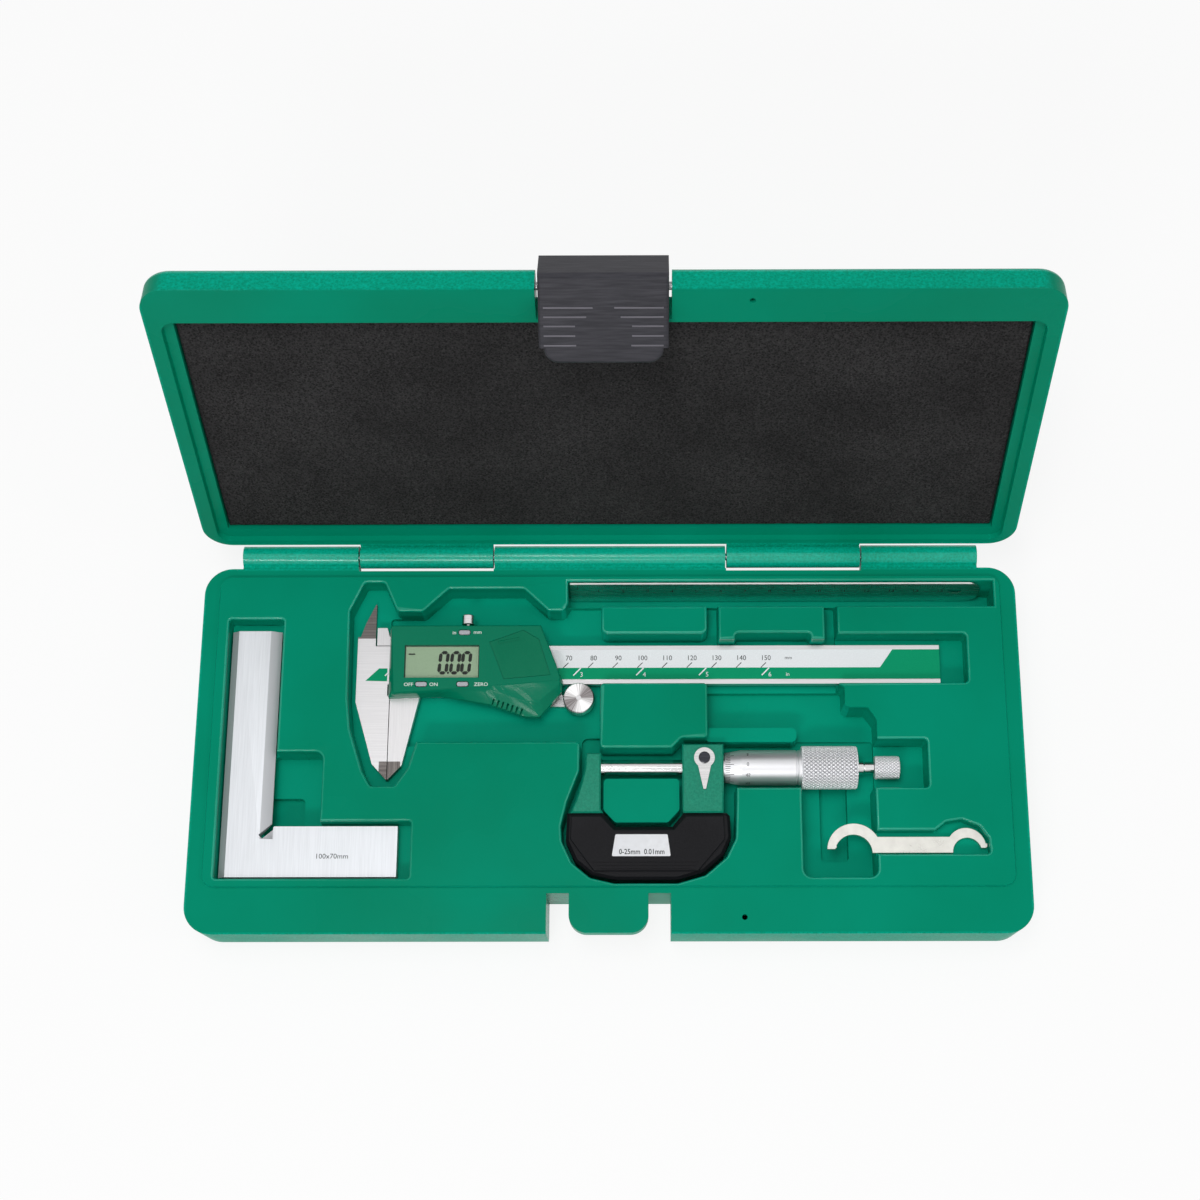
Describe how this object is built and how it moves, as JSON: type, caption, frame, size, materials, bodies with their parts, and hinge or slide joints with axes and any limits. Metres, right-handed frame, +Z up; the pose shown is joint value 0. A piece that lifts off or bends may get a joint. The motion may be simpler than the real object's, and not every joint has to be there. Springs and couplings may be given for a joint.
{
  "type": "micrometer case",
  "caption": "Hinged moulded case with a front latch and foam-lined lid, its tray holding a digital caliper, micrometer, rule, square and hook spanner.",
  "frame": {"origin": "centre of the base shell's flat underside", "axes": "+X along the case's long side to the viewer's right, +Y from the latch side to the hinge side, +Z up"},
  "size_m": [0.33, 0.2214, 0.1733],
  "materials": {
    "case_green": "textured",
    "steel_pin": "turned",
    "foam": "soft foam",
    "latch_grey": "moulded",
    "ground_steel": "ground",
    "satin_steel": "satin",
    "bright_steel": "polished",
    "scale_print": "printed",
    "housing_green": "moulded",
    "board_green": "coated board",
    "lcd": "display",
    "lcd_window": "clear",
    "button_grey": "moulded",
    "frame_green": "enamel",
    "cover_black": "moulded",
    "label_silver": "printed foil",
    "chrome_satin": "satin chrome",
    "screw_black": "blackened"
  },
  "bodies": {
    "case_base": {"base_shell": "case_green", "hinge_pin_left": "steel_pin", "hinge_pin_right": "steel_pin"},
    "case_lid": {"lid_shell": "case_green", "lid_foam": "foam"},
    "latch_pin": {"latch_pin": "steel_pin"},
    "latch": {"latch": "latch_grey"},
    "square": {"bevelled_square": "ground_steel"},
    "rule": {"steel_rule": "satin_steel"},
    "spanner": {"hook_spanner": "bright_steel"},
    "caliper": {"caliper_beam": "satin_steel", "beam_scale": "scale_print"},
    "caliper_slider": {"caliper_slider": "satin_steel", "slider_housing": "housing_green", "circuit_board": "board_green", "lcd_display": "lcd", "lcd_window": "lcd_window", "coin_cell": "bright_steel", "roller_axle": "satin_steel", "depth_rod": "bright_steel"},
    "battery_cover": {"battery_cover": "housing_green"},
    "thumb_roller": {"thumb_roller": "bright_steel"},
    "clamp_screw": {"clamp_screw": "bright_steel"},
    "unit_button": {"unit_button": "button_grey"},
    "power_button": {"power_button": "button_grey"},
    "zero_button": {"zero_button": "button_grey"},
    "micrometer": {"micrometer_frame": "frame_green", "anvil": "bright_steel", "cover_front": "cover_black", "cover_back": "cover_black", "range_label": "label_silver", "sleeve": "chrome_satin", "lock_screw": "screw_black"},
    "spindle": {"spindle": "bright_steel"},
    "thimble": {"thimble": "chrome_satin"},
    "ratchet": {"ratchet_neck": "bright_steel", "ratchet_knob": "bright_steel"},
    "lock_lever": {"lock_lever": "bright_steel"}
  },
  "joints": [
    {"name": "lid_hinge", "type": "hinge", "parent": "case_base", "child": "case_lid", "pos_m": [0, 0.0798, 0.0257], "axis": [-1, 0, 0], "range_deg": [-108.75, 0]},
    {"name": "latch_follow", "type": "hinge", "parent": "case_lid", "child": "latch_pin", "pos_m": [0, 0.13555, 0.16412], "axis": [-1, 0, 0], "range_deg": [0, 73]},
    {"name": "latch_swing", "type": "hinge", "parent": "latch_pin", "child": "latch", "pos_m": [0, 0.13555, 0.16412], "axis": [-1, 0, 0], "range_deg": [-11, 60]},
    {"name": "square_lift", "type": "slide", "parent": "case_base", "child": "square", "axis": [0, 0, 1], "range_m": [0, 0.06]},
    {"name": "rule_lift", "type": "slide", "parent": "case_base", "child": "rule", "axis": [0, 0, 1], "range_m": [0, 0.06]},
    {"name": "spanner_lift", "type": "slide", "parent": "case_base", "child": "spanner", "axis": [0, 0, 1], "range_m": [0, 0.06]},
    {"name": "caliper_lift", "type": "slide", "parent": "case_base", "child": "caliper", "axis": [0, 0, 1], "range_m": [0, 0.06]},
    {"name": "micrometer_lift", "type": "slide", "parent": "case_base", "child": "micrometer", "axis": [0, 0, 1], "range_m": [0, 0.06]},
    {"name": "caliper_slide", "type": "slide", "parent": "caliper", "child": "caliper_slider", "axis": [1, 0, 0], "range_m": [0, 0.0015]},
    {"name": "roller_turn", "type": "hinge", "parent": "caliper_slider", "child": "thumb_roller", "pos_m": [-0.0124, 0.0204, 0.0254], "axis": [0, 0, 1], "range_deg": [0, 15]},
    {"name": "clamp_screw_turn", "type": "hinge", "parent": "caliper_slider", "child": "clamp_screw", "pos_m": [-0.0574, 0.0505, 0.0262], "axis": [0, 1, 0], "range_deg": [-180, 0]},
    {"name": "unit_button_press", "type": "slide", "parent": "caliper_slider", "child": "unit_button", "axis": [0, 0, -1], "range_m": [0, 0.0004], "stiffness_N_per_m": 200},
    {"name": "power_button_press", "type": "slide", "parent": "caliper_slider", "child": "power_button", "axis": [0, 0, -1], "range_m": [0, 0.0004], "stiffness_N_per_m": 200},
    {"name": "zero_button_press", "type": "slide", "parent": "caliper_slider", "child": "zero_button", "axis": [0, 0, -1], "range_m": [0, 0.0004], "stiffness_N_per_m": 200},
    {"name": "spindle_slide", "type": "slide", "parent": "micrometer", "child": "spindle", "axis": [1, 0, 0], "range_m": [0, 0.005]},
    {"name": "thimble_turn", "type": "hinge", "parent": "spindle", "child": "thimble", "pos_m": [0.06, -0.00765, 0.0218], "axis": [1, 0, 0], "range_deg": [0, 3600]},
    {"name": "ratchet_turn", "type": "hinge", "parent": "thimble", "child": "ratchet", "pos_m": [0.11, -0.00765, 0.0218], "axis": [1, 0, 0], "continuous": true},
    {"name": "lock_lever_turn", "type": "hinge", "parent": "micrometer", "child": "lock_lever", "pos_m": [0.0378, -0.005, 0.028], "axis": [0, 0, 1], "range_deg": [0, 50]},
    {"name": "battery_cover_lift", "type": "slide", "parent": "caliper_slider", "child": "battery_cover", "axis": [0, 0, 1], "range_m": [0, 0.02]}
  ],
  "couplings": [
    {"joint": "latch_follow", "follows": "lid_hinge", "ratio": -0.671},
    {"joint": "roller_turn", "follows": "caliper_slide", "rad_per_m": 158.73},
    {"joint": "thimble_turn", "follows": "spindle_slide", "rad_per_m": 12566}
  ]
}
